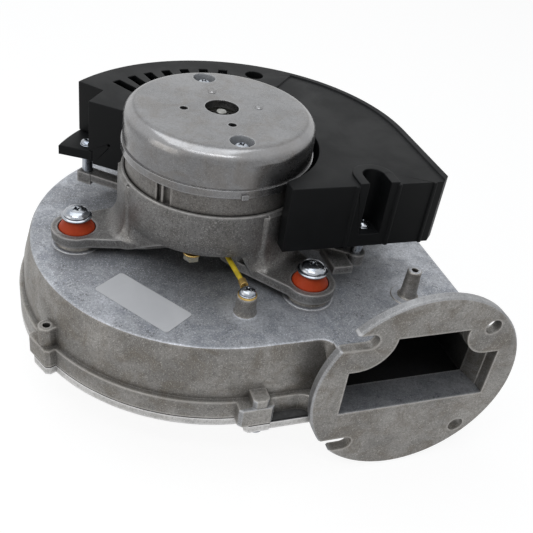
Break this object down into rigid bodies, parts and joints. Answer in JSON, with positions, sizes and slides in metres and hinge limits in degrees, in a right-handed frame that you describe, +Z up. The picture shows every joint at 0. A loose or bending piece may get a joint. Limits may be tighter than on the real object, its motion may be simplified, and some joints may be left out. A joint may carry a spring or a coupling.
{
  "type": "combustion blower",
  "caption": "Boiler combustion blower: cast volute with a round outlet flange, motor on rubber mounts, control box beside it and a bladed wheel on the motor shaft inside.",
  "frame": {"origin": "centre of the inlet face, on the motor axis", "axes": "+Z up along the motor axis away from the inlet, -Y out of the outlet flange, +X towards the flange's side"},
  "size_m": [0.2194, 0.2093, 0.1421],
  "materials": {
    "housing_casting": "die-cast, mottled",
    "cover_casting": "die-cast",
    "gasket": "matt fibre sheet",
    "zinc_screw": "bright zinc",
    "seal": "matt",
    "bracket_casting": "die-cast",
    "silicone": "red-orange silicone",
    "yellow_zinc": "yellow zinc",
    "shell_casting": "die-cast",
    "lamination": "stacked sheet",
    "copper": "enamelled copper wire",
    "cap_casting": "die-cast, blasted",
    "bearing_steel": "ground steel",
    "black_plastic": "fine-grained black",
    "board": "lacquered circuit board",
    "capacitor": "shrink sleeve",
    "chip": "moulded",
    "connector": "natural nylon",
    "brass": "plain brass",
    "wire": "yellow with a green stripe",
    "label": "satin foil, blank",
    "magnet": "sintered ferrite",
    "wheel_sheet": "pressed sheet"
  },
  "bodies": {
    "housing": {"volute_housing": "housing_casting", "bottom_cover": "cover_casting", "housing_gasket": "gasket", "housing_screws": "zinc_screw", "shaft_seal": "seal", "motor_bracket": "bracket_casting", "rubber_mounts": "silicone", "mount_sleeves": "zinc_screw", "mount_screws": "zinc_screw", "bracket_screws": "yellow_zinc", "motor_shell": "shell_casting", "stator_core": "lamination", "stator_windings": "copper", "motor_cap": "cap_casting", "cap_screws": "zinc_screw", "upper_bearing_outer_race": "bearing_steel", "lower_bearing_outer_race": "bearing_steel", "preload_washer": "bearing_steel", "control_cover": "black_plastic", "control_base": "black_plastic", "circuit_board": "board", "board_capacitors": "capacitor", "board_inductor": "copper", "board_chips": "chip", "board_connector": "connector", "cover_screws": "zinc_screw", "cover_standoffs": "zinc_screw", "earth_screw": "zinc_screw", "earth_terminals": "brass", "earth_wire": "wire", "blank_label": "label"},
    "rotor": {"motor_shaft": "bearing_steel", "rotor_core": "lamination", "rotor_magnets": "magnet", "upper_bearing_inner_race": "bearing_steel", "lower_bearing_inner_race": "bearing_steel", "wheel_hub": "wheel_sheet", "wheel_backplate": "wheel_sheet", "wheel_blades": "wheel_sheet", "wheel_shroud": "wheel_sheet", "wheel_rivets": "zinc_screw", "wheel_nut": "brass"},
    "upper_balls": {"upper_ball_cage": "bearing_steel"},
    "lower_balls": {"lower_ball_cage": "bearing_steel"}
  },
  "joints": [
    {"name": "rotor_spin", "type": "hinge", "parent": "housing", "child": "rotor", "pos_m": [0, 0, 0], "axis": [0, 0, 1], "continuous": true},
    {"name": "upper_cage_spin", "type": "hinge", "parent": "housing", "child": "upper_balls", "pos_m": [0, 0, 0], "axis": [0, 0, 1], "continuous": true},
    {"name": "lower_cage_spin", "type": "hinge", "parent": "housing", "child": "lower_balls", "pos_m": [0, 0, 0], "axis": [0, 0, 1], "continuous": true}
  ],
  "couplings": [
    {"joint": "upper_cage_spin", "follows": "rotor_spin", "ratio": 0.37333},
    {"joint": "lower_cage_spin", "follows": "rotor_spin", "ratio": 0.37333}
  ]
}
